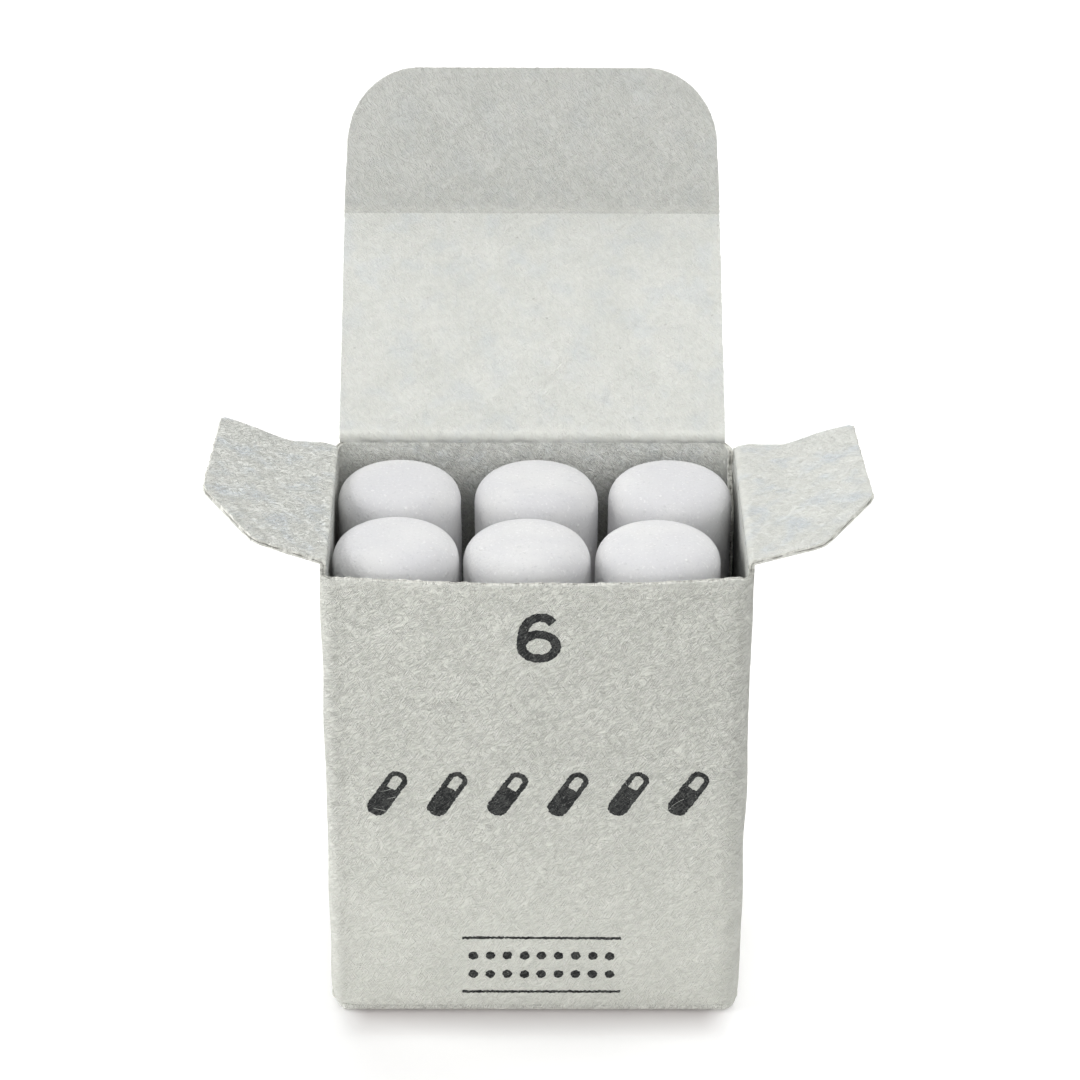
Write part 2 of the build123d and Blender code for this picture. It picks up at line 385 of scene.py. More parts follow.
def face_fibres(name, surface, u_range, v_range, side, count, body, seed):
    """Fibres that lie loose on a face of the board: side -1 is the outer face, 1 the inner one."""
    random = np.random.default_rng(seed)
    strands = []
    for _ in range(count):
        u, v = random.uniform(*u_range), random.uniform(*v_range)
        angle, step = random.uniform(0, np.pi), np.array([0, 0.05])
        middle, normal = surface(u + step * math.cos(angle), v + step * math.sin(angle))
        heading = middle[1] - middle[0]
        sideways = np.cross(normal[0], heading / np.linalg.norm(heading))
        length = random.uniform(0.35, 1.1)
        start = middle[0] + side * normal[0] * (HALF + 0.004)
        bend = sideways * random.normal() * 0.22 + side * normal[0] * 0.012
        strands.append(strand(start, heading, bend, length, random.uniform(0.014, 0.024)))
    loose_fibres(name, strands, body)


# ---- Material nodes -----------------------------------------------------------------------------
class Nodes:
    """Short calls that build one material's nodes. Values may be numbers or other nodes' outputs."""

    def __init__(self, name):
        self.material = bpy.data.materials.new(name)
        self.material.use_nodes = True
        self.tree = self.material.node_tree
        self.shader = self.tree.nodes["Principled BSDF"]

    def add(self, kind, values=None, **settings):
        node = self.tree.nodes.new(kind)
        for key, value in settings.items():
            setattr(node, key, value)
        for key, value in (values or {}).items():
            self.put(node.inputs[key], value)
        return node

    def put(self, socket, value):
        if isinstance(value, bpy.types.NodeSocket):
            self.tree.links.new(value, socket)
        else:
            socket.default_value = value

    def field(self, name, output="Fac"):
        return self.add("ShaderNodeAttribute", attribute_name=name).outputs[output]

    def maths(self, operation, a, b=0.0):
        return self.add("ShaderNodeMath", {0: a, 1: b}, operation=operation).outputs[0]

    def times(self, first, *others):
        for other in others:
            first = self.maths("MULTIPLY", first, other)
        return first

    def plus(self, first, *others):
        for other in others:
            first = self.maths("ADD", first, other)
        return first

    def span(self, value, low, high, to_low=0.0, to_high=1.0, smooth=True):
        values = {"Value": value, "From Min": low, "From Max": high, "To Min": to_low, "To Max": to_high}
        kind = "SMOOTHSTEP" if smooth else "LINEAR"
        return self.add("ShaderNodeMapRange", values, interpolation_type=kind).outputs["Result"]

    def blend(self, share, a, b, mode="MIX"):
        values = {"Factor": share, 6: a, 7: b}
        return self.add("ShaderNodeMix", values, data_type="RGBA", blend_type=mode).outputs[2]

    def over(self, colour, shade, *shares):
        """The colour with this shade, 0 to 255, laid over it by the product of the shares."""
        return self.blend(self.times(*shares), colour, tint(*shade))

    def scaled(self, colour, amount):
        """The colour made lighter or darker by a grey amount."""
        grey = self.add("ShaderNodeCombineColor", {"Red": amount, "Green": amount, "Blue": amount})
        return self.blend(1.0, colour, grey.outputs[0], "MULTIPLY")

    def noise(self, place, scale, detail=2.0, rough=0.5, output="Fac", flat=False):
        values = {"Vector": place, "Scale": scale, "Detail": detail, "Roughness": rough}
        kind = "2D" if flat else "3D"
        return self.add("ShaderNodeTexNoise", values, noise_dimensions=kind).outputs[output]

    def object_place(self):
        return self.add("ShaderNodeTexCoord").outputs["Object"]

    def stretched(self, place, degrees, length, width, shift):
        """Coordinates in which a mark of this length and width is one unit each way."""
        values = {"Vector": place, "Rotation": (0, 0, math.radians(degrees)),
                  "Scale": (length, width, 1), "Location": (shift, -0.7 * shift, 0)}
        return self.add("ShaderNodeMapping", values, vector_type="TEXTURE").outputs[0]

    def marks(self, place, density, scale=1.0, edge=(0.42, 0.14), dimensions="2D"):
        """Separate rounded marks in a share of the cells."""
        cells = self.add("ShaderNodeTexVoronoi", {"Vector": place, "Scale": scale},
                         voronoi_dimensions=dimensions, feature="F1")
        pick = self.add("ShaderNodeSeparateColor", {"Color": cells.outputs["Color"]}).outputs[0]
        return self.times(self.span(cells.outputs["Distance"], *edge), self.maths("LESS_THAN", pick, density))

    def bump(self, height, distance, strength=1.0):
        values = {"Strength": strength, "Distance": distance * MM, "Height": height}
        return self.add("ShaderNodeBump", values).outputs[0]

    def finish(self, colour, roughness, normal, specular=0.25):
        self.put(self.shader.inputs["Base Color"], colour)
        self.put(self.shader.inputs["Roughness"], roughness)
        self.put(self.shader.inputs["Normal"], normal)
        self.shader.inputs["Specular IOR Level"].default_value = specular
        return self.material


def tint(red, green, blue):
    """A colour from its 0 to 255 screen values."""
    def linear(value):
        value /= 255
        return value / 12.92 if value <= 0.04045 else ((value + 0.055) / 1.055) ** 2.4
    return (linear(red), linear(green), linear(blue), 1.0)


# angle, length, width and density of the felted fibres, in degrees and millimetres
PALE_FIBRES = (
    (38, 0.9, 0.10, 0.35), (108, 0.8, 0.10, 0.45), (128, 0.95, 0.105, 0.55), (150, 1.0, 0.105, 0.5))
DARK_FIBRES = (
    (20, 0.7, 0.10, 0.2), (96, 0.8, 0.11, 0.3), (122, 0.75, 0.10, 0.35), (143, 0.85, 0.11, 0.35))
FELT_ANGLES = (12, 62, 104, 127, 152)


def fibre_felt(n, place):
    """Pale and dark fibres lying every way in the sheet, and the height of the felt."""
    drift = n.noise(place, 0.9, 1.0, output="Color")
    drift = n.add("ShaderNodeVectorMath", {0: drift, 1: (0.3, 0.3, 0), 2: place}, operation="MULTIPLY_ADD")
    wandering = drift.outputs[0]

    def layered(layers, shift):
        total = None
        for k, (degrees, length, width, density) in enumerate(layers):
            mark = n.marks(n.stretched(wandering, degrees, length, width, shift + 3.7 * k), density)
            total = mark if total is None else n.maths("MAXIMUM", total, mark)
        return total

    pale = layered(PALE_FIBRES, 0.0)
    dark = layered(DARK_FIBRES, 21.3)
    spots = [n.stretched(wandering, angle, 0.42, 0.085, 40 + 5.1 * k) for k, angle in enumerate(FELT_ANGLES)]
    felt = n.plus(*(n.noise(spot, 1.0, 1.5, 0.6, flat=True) for spot in spots))
    return pale, dark, n.times(felt, 1 / len(FELT_ANGLES))


def board_material():
    """Grey recycled board: felted fibres, specks, paler and rougher where it is folded or cut, with painted
    light and shade laid over its colour.
    """
    n = Nodes("grey_board")
    place = n.field("sheet", "Vector")
    inside, wear = n.field("inside"), n.field("wear")
    cut, painted_shading, relief = n.field("cut"), n.field("painted_shading"), n.field("relief")
    pale, dark, felt = fibre_felt(n, place)

    colour = n.blend(inside, tint(*OUTER_GREY), tint(*INNER_GREY))
    clouds = n.noise(place, 0.32, 3.0, 0.55)
    clouded = n.blend(1.0, colour, (0.93, 0.935, 0.93, 1), "MULTIPLY")
    colour = n.blend(n.span(clouds, 0.3, 0.7), colour, clouded)
    clouds = n.span(n.noise(place, 0.5, 2.0), 0.46, 0.70)
    colour = n.over(colour, INNER_COOL, clouds, n.field("cool"), inside)
    contrast = n.times(n.maths("SUBTRACT", felt, 0.5), relief)
    colour = n.scaled(colour, n.span(contrast, -0.14, 0.14, 0.80, 1.18, smooth=False))
    colour = n.over(colour, FIBRE_PALE, pale, 0.52, relief)
    colour = n.over(colour, FIBRE_DARK, dark, 0.28, relief)
    specks = n.marks(n.stretched(place, 31, 0.5, 0.34, 77), 0.004)
    colour = n.over(colour, SPECK, n.span(specks, 0.86, 1.0), 0.28)
    worn = n.times(wear, n.span(n.noise(place, 2.6, 3.0, 0.65), 0.32, 0.62, 0.45, 1.0))
    colour = n.over(colour, WORN_GREY, worn)

    layers = n.add("ShaderNodeVectorMath", {0: place, 1: (2.4, 2.4, 26)}, operation="MULTIPLY")
    layers = n.noise(layers.outputs[0], 1.0, 2.0, 0.6)
    plies = n.blend(n.span(layers, 0.36, 0.62), tint(*PLY_DARK), tint(*PLY_PALE))
    depth = n.add("ShaderNodeSeparateXYZ", {0: place}).outputs[2]
    core = n.span(n.maths("ABSOLUTE", depth), 0.07, 0.02)
    plies = n.over(plies, PLY_CORE, core, n.span(n.noise(place, 1.1, 2.0), 0.42, 0.6), 0.8)
    # painted light and shade: the colour is scaled lighter or darker where the light would fall more or less
    colour = n.scaled(n.blend(cut, colour, plies), n.plus(1.0, painted_shading))

    height = n.maths("SUBTRACT", n.plus(n.times(felt, 1.5), n.times(pale, 0.85)), n.times(dark, 0.30))
    height = n.times(n.plus(height, n.times(worn, 0.5)), relief)
    roughness = n.span(felt, 0.35, 0.65, 0.82, 0.97, smooth=False)
    return n.finish(colour, roughness, n.bump(height, 0.075), 0.18)


def loose_fibre_material():
    """Single pale fibres, a little uneven along their length."""
    n = Nodes("loose_fibre")
    mottle = n.noise(n.object_place(), 3500, 2.0)
    colour = n.blend(n.span(mottle, 0.35, 0.65), tint(196, 198, 190), tint(226, 227, 221))
    return n.finish(colour, 0.85, n.bump(mottle, 0.004, 0.6), 0.2)


def ink_material():
    """Matt black print that has sunk into the board: fibres show through as pale flecks."""
    n = Nodes("print_ink")
    place = n.field("sheet", "Vector")
    pale, _, felt = fibre_felt(n, place)
    flecks = n.span(n.noise(place, 9.0, 3.0, 0.7), 0.57, 0.67)
    missing = n.maths("MAXIMUM", n.times(pale, 0.22), n.times(flecks, 0.75))
    colour = n.blend(n.span(felt, 0.4, 0.6), tint(24, 25, 27), tint(42, 43, 43))
    colour = n.over(colour, (128, 130, 126), missing)
    height = n.plus(n.times(felt, 1.6), n.times(pale, 0.5))
    return n.finish(colour, n.span(felt, 0.35, 0.65, 0.7, 0.9), n.bump(height, 0.03), 0.22)


def glue_material():
    """Dried paper glue with small bubbles."""
    n = Nodes("dried_glue")
    bubbles = n.noise(n.object_place(), 1500, 3.0, 0.6)
    colour = n.blend(n.span(bubbles, 0.35, 0.65), tint(214, 205, 176), tint(238, 232, 212))
    return n.finish(colour, n.span(bubbles, 0.3, 0.7, 0.25, 0.5), n.bump(bubbles, 0.02), 0.4)


def eraser_material():
    """Matt white eraser compound: fine powder, faint smears, tiny pits."""
    n = Nodes("eraser_compound")
    place = n.object_place()
    cloud = n.noise(place, 260, 3.0, 0.5)
    powder = n.noise(place, 5200, 2.0, 0.6)
    pits = n.marks(place, 0.2, 1500.0, (0.2, 0.08), "3D")
    crumbs = n.marks(place, 0.13, 2300.0, (0.34, 0.136), "3D")
    colour = n.blend(n.span(cloud, 0.3, 0.7), tint(220, 220, 220), tint(212, 212, 214))
    colour = n.over(colour, (238, 238, 238), n.span(powder, 0.58, 0.74, 0, 0.6))
    colour = n.over(colour, (186, 187, 190), n.span(powder, 0.40, 0.27, 0, 0.4))
    colour = n.over(colour, (176, 177, 181), pits, 0.15)
    colour = n.over(colour, (240, 240, 240), crumbs, 0.6)
    height = n.maths("SUBTRACT", n.plus(n.times(powder, 0.9), n.times(crumbs, 0.9)), n.times(pits, 0.5))
    height = n.plus(height, n.times(n.noise(place, 900, 2.0), 1.4))
    made = n.finish(colour, n.span(cloud, 0.3, 0.7, 0.62, 0.8), n.bump(height, 0.045), 0.3)
    n.shader.inputs["Subsurface Weight"].default_value = 0.2
    n.shader.inputs["Subsurface Radius"].default_value = (1, 0.95, 0.9)
    n.shader.inputs["Subsurface Scale"].default_value = 0.6 * MM
    return made


def floor_material():
    """The pale table, bright enough to run into the background, with a painted shadow along the carton's
    front foot.
    """
    n = Nodes("pale_floor")
    place = n.object_place()
    cloud = n.noise(place, 6, 2.0)
    colour = n.blend(cloud, (0.90, 0.895, 0.895, 1), (0.92, 0.915, 0.915, 1))
    spot = n.add("ShaderNodeSeparateXYZ", {0: place}).outputs
    # painted shadow: a band of the table at the carton's front foot is darkened, in its colour and in its
    # glow
    front, side, reach = FRONT_LOW[1] * MM, WALL_X * MM, PAINTED_SHADOW_REACH * MM
    before = n.span(spot[1], front - reach, front, smooth=False)
    under = n.span(spot[1], front + reach, front + 0.3 * reach)
    across = n.span(n.maths("ABSOLUTE", spot[0]), side, side - 0.8 * reach)
    shade = n.blend(n.times(before, under, across), (1, 1, 1, 1), PAINTED_SHADOW_COLOUR)
    made = n.finish(n.blend(1.0, colour, shade, "MULTIPLY"), 0.9, n.bump(cloud, 0.05, 0.2), 0.1)
    n.put(n.shader.inputs["Emission Color"], shade)
    away = n.add("ShaderNodeVectorMath", {0: place}, operation="LENGTH").outputs["Value"]
    n.put(n.shader.inputs["Emission Strength"], n.span(away, 0.35, 0.9, FLOOR_GLOW, 1.0))
    return made


def backdrop():
    """A white wall far round the table. Only the camera sees it, so it lights nothing."""
    n = Nodes("white_wall")
    n.shader.inputs["Emission Color"].default_value = (1, 1, 1, 1)
    n.shader.inputs["Emission Strength"].default_value = 1
    sides = 96
    turn = np.linspace(0, 2 * np.pi, sides, endpoint=False)
    ring = np.stack([WALL_RADIUS * np.cos(turn), WALL_RADIUS * np.sin(turn)], 1)
    points = [(x, y, z) for z in (-WALL_RADIUS, 2 * WALL_RADIUS) for x, y in ring]
    faces = [[k, (k + 1) % sides, sides + (k + 1) % sides, sides + k] for k in range(sides)]
    wall = mesh_object("white_wall", np.array(points) / MM, faces, n.material)
    for kind in ("diffuse", "glossy", "transmission", "shadow"):
        setattr(wall, f"visible_{kind}", False)


# colours are 0 to 255 screen values, unless they have four numbers
OUTER_GREY = (219, 220, 212)
INNER_GREY = (225, 226, 221)
INNER_COOL = (208, 214, 218)
WORN_GREY = (234, 235, 228)
FIBRE_PALE = (252, 252, 246)
FIBRE_DARK = (150, 151, 143)
SPECK = (118, 114, 106)
PLY_PALE = (242, 242, 235)
PLY_DARK = (208, 208, 200)
PLY_CORE = (120, 119, 112)
FLOOR_GLOW = 0.17
WALL_RADIUS = 1.45        # of the white wall round the table, in metres
PAINTED_SHADOW_COLOUR = (0.60, 0.575, 0.57, 1)   # the table's painted shadow at the carton's foot
PAINTED_SHADOW_REACH = 3.1         # and over how many millimetres that fades
WORLD_GLOW = 0.05
TABLE_GAP = 0.02          # the table lies this many millimetres below the carton

BOARD_GREY = board_material()
FIBRE = loose_fibre_material()
INK = ink_material()
ERASER_WHITE = eraser_material()


# ---- The carton's walls -------------------------------------------------------------------------
# v runs round the blank: right wall from its glued edge, front, left, back, and the glue flap inside
SEAM_EDGE_Y = RIGHT_HIGH[1]
V_FRONT = SEAM_EDGE_Y + FLAT_Y + CORNER_ARC
V_LEFT = V_FRONT + 2 * FLAT_X + CORNER_ARC
V_BACK = V_LEFT + 2 * FLAT_Y + CORNER_ARC
V_GLUE = V_BACK + FLAT_X + SEAM_FLAT_X + CORNER_ARC
V_END = V_GLUE + GLUE_HIGH[1] - GLUE_LOW[1]
WALL_LINE = bent_line((-WALL_X, SEAM_EDGE_Y), [
    (0, 180), (V_FRONT - CORNER_ARC, 180), (V_FRONT, 90), (V_LEFT - CORNER_ARC, 90), (V_LEFT, 0),
    (V_BACK - CORNER_ARC, 0), (V_BACK, -90), (V_GLUE - CORNER_ARC, -90), (V_GLUE, -180), (V_END, -180)])
FOLDS = [v - CORNER_ARC / 2 for v in (V_FRONT, V_LEFT, V_BACK, V_GLUE)]
wall_warp = waves(3, 9.0)
fold_warp = waves(4, 1.1)
rim_wave = waves(5, 5.0)


def across_front(v):
    """0 at the front panel's right end, 1 at its left end."""
    return np.clip((v - V_FRONT) / (2 * FLAT_X), 0, 1)


def wall_lift(z, v):
    """The walls' bow and unevenness, inwards positive."""
    across = across_front(v)
    height = np.clip(z / RIM_Z, 0, 1)
    bow = -BOW * np.sin(np.pi * across) ** 1.3 * height ** 2.2
    side_bow = -0.10 * (hill(v, V_FRONT - CORNER_ARC - FLAT_Y, 6) + hill(v, V_LEFT + FLAT_Y, 6))
    side_bow = side_bow * np.sin(np.pi * height)
    free = ease(z, 0.6, 5) * (1 - ease(z, RIM_Z - 3, RIM_Z + 0.2) * (across <= 0)) * (v < V_GLUE - 2)
    uneven = 0.05 * wall_warp(z, v) * free
    wrinkled = sum(hill(v, fold, 0.45) for fold in FOLDS[:3]) * 0.02 * fold_warp(z, v)
    pushed = CORNER_TUCK["right"] * hill(v, FOLDS[0], 0.9) + CORNER_TUCK["left"] * hill(v, FOLDS[1], 0.9)
    return bow + side_bow + uneven + wrinkled + pushed * (1 - ease(z, 0.3, 2.4)) ** 2


def wall_low(v):
    """Height of the walls' lower edge: the foot of each front corner fold is rounded off."""
    side = box_mm("bottom_dust_crease_left")[1][2] + FLOOR_JOIN
    front = HINGE["bottom_fold"][2] + JOIN
    turn = np.linspace(0, 1, 9)
    foot = BOARD - 0.12 + (side - BOARD + 0.12) * (1 - np.cos(turn * math.pi / 2))
    at = [[0], V_FRONT - 0.05 - (CORNER_ARC - 0.05) * turn[::-1], [V_FRONT, V_LEFT - CORNER_ARC],
          V_LEFT - CORNER_ARC + 0.05 + (CORNER_ARC - 0.05) * turn,
          [V_BACK - CORNER_ARC - 0.5, V_BACK - CORNER_ARC, V_BACK, V_GLUE - CORNER_ARC, V_GLUE,
           V_GLUE + 0.02, V_END]]
    height = [[side], foot[::-1], [front, front], foot,
              [side, 0.25, FOOT, FOOT, 0.3, GLUE_LOW[2], GLUE_LOW[2] + 2]]
    return np.interp(v, np.concatenate(at), np.concatenate(height))


def wall_high(v):
    """Height of the walls' upper edge."""
    side, back = SIDE_CREASE_Z - JOIN, LID_CREASE_Z - JOIN
    at = [0, V_FRONT - CORNER_ARC, V_FRONT - CORNER_ARC + 0.15, V_LEFT - 0.15, V_LEFT,
          V_BACK - CORNER_ARC, V_BACK, V_GLUE - CORNER_ARC, V_GLUE, V_GLUE + 0.02, V_END]
    height = [side, side, RIM_Z, RIM_Z, side, side, back, back, side, GLUE_HIGH[2], GLUE_HIGH[2] - 2]
    across = across_front(v)
    dip = RIM_DIP * np.sin(np.pi * across) ** 1.2 + 0.035 * rim_wave(v, 0 * v) * (across > 0) * (across < 1)
    return np.interp(v, at, height) - dip


def wall_cut(side, z, v):
    """The walls' edges are cut wherever no flap takes over."""
    right_flap = (v > SEAM_EDGE_Y - DUST_BACK_Y) & (v < SEAM_EDGE_Y - DUST_FRONT_Y)
    left_flap = (v > V_LEFT + FLAT_Y + DUST_FRONT_Y) & (v < V_LEFT + FLAT_Y + DUST_BACK_Y)
    lid = (v > V_BACK) & (v < V_GLUE - CORNER_ARC)
    front = (v > V_FRONT) & (v < V_LEFT - CORNER_ARC)
    joined_above = (side == 1) & (right_flap | left_flap | lid)
    joined_below = (side == 3) & (right_flap | left_flap | front)
    return 1.0 - (joined_above | joined_below)


def wall_wear(z, v):
    folds = 0.75 * sum(hill(v, fold, 0.34) for fold in FOLDS)
    rim = 0.7 * hill(z, RIM_Z, 0.3) * (v > V_FRONT - 0.3) * (v < V_LEFT - CORNER_ARC + 0.3)
    return np.clip(folds * (0.75 + 0.35 * fold_warp(z * 0.6, v)) + rim, 0, 0.9)


def wall_painted_shading(z, v):
    """Painted shading on the outer face: painted shade towards the rim, at the right-hand end and at the
    folds, which turn from the light, and a little painted light at the foot.
    """
    front = ease(v, V_FRONT - 2, V_FRONT) * (1 - ease(v, V_LEFT - 1, V_LEFT))
    folds = 0.19 * hill(v, FOLDS[0], 0.8) + 0.14 * hill(v, FOLDS[1], 0.8)
    foot = 0.035 * (1 - ease(z, 0.5, 4))
    return front * (0.018 + foot - 0.062 * ease(z, 0, 26) - 0.072 * (1 - across_front(v))) - folds


def wall_relief(z, v):
    return 0.52 + 0.43 * ease(z, 4, 21)


def wall_inner_painted_shading(z, v):
    """Painted shade on the inside: darker down in the carton, soonest at the side walls, with painted light
    near the back wall's top.
    """
    back = ease(v, V_BACK - 1, V_BACK) * (1 - ease(v, V_GLUE - 1, V_GLUE))
    sides = -0.60 * (1 - ease(z, RIM_Z - 3.5, RIM_Z - 0.4))
    return sides * (1 - back) + back * (0.14 - 0.66 * (1 - ease(z, RIM_Z - 4.6, RIM_Z - 0.2)))


WALL = bent_sheet(WALL_LINE, UP, -ALONG_X, ALONG_Y, wall_lift)


def carton_walls():
    """The four walls, their corner folds and the glue flap, as one bent sheet."""
    shown = (V_FRONT - CORNER_ARC - 0.4, V_LEFT + 0.4)
    rows = stations((0, shown[0], 0.25), (*shown, FINE), (shown[1], V_GLUE, 0.25),
                    (V_GLUE, V_GLUE + 0.02, 0.02), (V_GLUE + 0.02, V_END, 0.25))
    share = stations((0, 0.04, 0.01), (0.04, 0.9, 0.0125), (0.9, 1, 0.0045))
    folds = [f"corner_fold_{front}_{side}" for front in ("front", "back") for side in ("left", "right")]
    made, edge = board(
        "carton_wall_board", ["front_panel", "back_panel", "left_side_panel", "right_side_panel", *folds,
                              "glue_flap"],
        11, rows, share, lambda v: (wall_low(v), wall_high(v)), WALL, wall_cut, wall_wear, wall_painted_shading,
        wall_inner_painted_shading, relief=wall_relief)
    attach(made, "carton")
    return edge


def front_face(x, z, lift):
    """Points on the front panel's outer face, lift above the board."""
    middle, normal = WALL(np.asarray(z, float), V_FRONT + FLAT_X - np.asarray(x, float))
    return middle - normal * (HALF + lift)


# ---- Lid ----------------------------------------------------------------------------------------
def lean_between(start, end):
    """Degrees back from upright, in the Y-Z plane, of the way from start to end."""
    return math.degrees(math.atan2(end[1] - start[1], end[2] - start[2]))


def far_end(node, hinge, across):
    """Length and lean of a flat flap of board from its hinge; across is the axis (0 or 1) it leans along."""
    low, high = box_mm(node)
    reach = high[across] - hinge[across] if high[across] > abs(low[across]) else hinge[across] - low[across]
    rise = high[2] - hinge[2]
    lean = math.atan2(reach, rise)
    for _ in range(6):
        lean = math.atan2(reach - HALF * math.cos(lean), rise - HALF * math.sin(lean))
    length = math.hypot(reach - HALF * math.cos(lean), rise - HALF * math.sin(lean))
    return length, math.degrees(lean)


LID_AXIS, TUCK_AXIS = HINGE["lid_fold"], HINGE["tuck_fold"]
LID_LENGTH = float(np.linalg.norm(TUCK_AXIS - LID_AXIS))
LID_LEAN = lean_between(LID_AXIS, TUCK_AXIS)
TUCK_LENGTH, TUCK_LEAN = far_end("tuck_flap", TUCK_AXIS, 1)
LID_WAY, TUCK_WAY = leaning(LID_LEAN, ALONG_Y), leaning(TUCK_LEAN, ALONG_Y)
LID_MIDDLE, LID_HALF_WIDTH = (LID_LOW[0] + LID_HIGH[0]) / 2, (LID_HIGH[0] - LID_LOW[0]) / 2
TUCK_MIDDLE, TUCK_HALF_WIDTH = (TUCK_LOW[0] + TUCK_HIGH[0]) / 2, (TUCK_HIGH[0] - TUCK_LOW[0]) / 2
TUCK_CORNER = 4.8         # radius of the tuck flap's two round corners
TUCK_CURL = 0.4           # how far it leans from straight, in degrees
LID_SCORE_PAINTED_SHADE = 0.26          # how dark the painted shade in the lid's scored crease is on its inner face
LID_PAINTED_SHADE = -0.015         # painted shade on each flap of the sheet, for how it leans from the light
TUCK_PAINTED_SHADE = -0.155


def lid_board():
    """The lid, from just below its crease to the flat board before the tuck flap's crease."""
    flat = JOIN - FOLD_SETBACK
    line, crease, length = creased((LID_AXIS[1], LID_AXIS[2] - JOIN), flat, FOLD_SETBACK,
                                   LID_LENGTH - FOLD_SETBACK - SETBACK, (0, LID_LEAN))
    warp, torn = waves(21, 11.0), waves(24, 1.3)

    def lift(x, v):
        free = ease(v, 1.0, 5.0) * (1 - ease(v, length - 4.0, length - 0.2))
        return 0.07 * warp(x, v) * free + 0.012 * waves(22, 1.0)(x, v) * hill(v, crease, 0.3)

    def span(v):
        half = LID_HALF_WIDTH - 0.04 + 0.04 * v / length
        return LID_MIDDLE - half, LID_MIDDLE + half

    def wear(x, v):
        return 0.7 * hill(v, crease, 0.25) + 0.5 * hill(v, length + SETBACK, 0.3)

    def inner_painted_shading(x, v):
        """The crease is scored from inside: its ragged line is painted darker, as the shade in the score,
        over the flap's painted shade.
        """
        line_at = flat - 0.16 + 0.05 * torn(x, 0 * x)
        return LID_PAINTED_SHADE - LID_SCORE_PAINTED_SHADE * hill(v, line_at, 0.13) * (0.7 + 0.5 * torn(0.5 * x, 0 * x + 9))

    rows = stations((0, 1.4, 0.07), (1.4, length, FINE))
    share = stations((0, 1, FINE / (2 * LID_HALF_WIDTH)))
    made, edge = board(
        "lid_board", ["lid_crease", "lid_panel"], 23, rows, share, span,
        bent_sheet(line, ALONG_X, ALONG_Y, UP, lift), cut_sides(1, 3, rough=CLEAN_CUT), wear, same(LID_PAINTED_SHADE),
        inner_painted_shading, ridge(0.05, crease + 0.1, 0.28), same(0.34), cool=0.35)
    blend_over(made)
    return edge


def tuck_board():
    """The tuck flap along the lid's free edge, with its crease and its two round corners."""
    flat = SETBACK - FOLD_SETBACK
    arc = fold_arc(FOLD_SETBACK, LID_LEAN - TUCK_LEAN)
    crease, length = flat + arc / 2, flat + arc + TUCK_LENGTH - FOLD_SETBACK
    line = bent_line((TUCK_AXIS - LID_WAY * SETBACK)[1:], [
        (0, LID_LEAN), (flat, LID_LEAN), (flat + arc, TUCK_LEAN), (length / 2, TUCK_LEAN - TUCK_CURL),
        (length, TUCK_LEAN + TUCK_CURL)])
    warp = waves(31, 8.0)
    corner_start = length - TUCK_CORNER * 1.06

    def lift(x, v):
        """Almost flat, because the shut flap has little room between the front panel and the erasers."""
        return 0.02 * warp(x, v) * ease(v, 0.5, 3.5)

    def span(v):
        into = np.clip((v - corner_start) / (length - corner_start), 0, 1)
        half = TUCK_HALF_WIDTH + (LID_HALF_WIDTH - TUCK_HALF_WIDTH) * (1 - ease(v, 0.2, 6.0))
        half = half - TUCK_CORNER * (1 - np.sqrt(np.clip(1 - into ** 2, 0, 1)))
        return TUCK_MIDDLE - half, TUCK_MIDDLE + half

    # rows crowd together where the round corners come in fastest
    corner_rows = corner_start + (length - corner_start) * np.sin(np.linspace(0, np.pi / 2, 46)[1:])
    rows = np.concatenate([stations((0, 1.0, 0.07), (1.0, corner_start, FINE)), corner_rows])
    share = stations((0, 1, FINE / (2 * TUCK_HALF_WIDTH)))
    made, edge = board(
        "tuck_board", ["tuck_crease", "tuck_flap"], 37, rows, share, span,
        bent_sheet(line, ALONG_X, ALONG_Y, UP, lift), cut_sides(1, 2, 3, rough=CLEAN_CUT),
        ridge(0.85, crease, 0.24), same(TUCK_PAINTED_SHADE), swell=ridge(0.045, crease, 0.2),
        relief=same(0.52), cool=0.2)
    blend_over(made)
    return edge


# ---- Dust flaps ---------------------------------------------------------------------------------
DUST_CURL = 0.33          # how far the back part of an open dust flap sags below its straight line
DUST_VALLEY = 2.9         # where it sags most, out from the crease
DUST_CHAMFER_START = 4.6  # out from the crease
DUST_CHAMFER_Y = -3.5
DUST_BACK_DIP = (3.0, 6.95)   # its back edge: out from the crease, and Y
DUST_BACK_TIP_Y = 6.6
DUST_SLANT = 0.4          # the outer edge's back end comes in this much
DUST_SCORE_PAINTED_SHADE = 0.5          # how dark the painted shade in the scored crease is on the inner face
# painted shade on each dust flap, to match how the light falls on it
DUST_PAINTED_SHADE = {"left": 0.0, "right": -0.115}
DUST_RELIEF = {"left": 1.15, "right": 0.56}


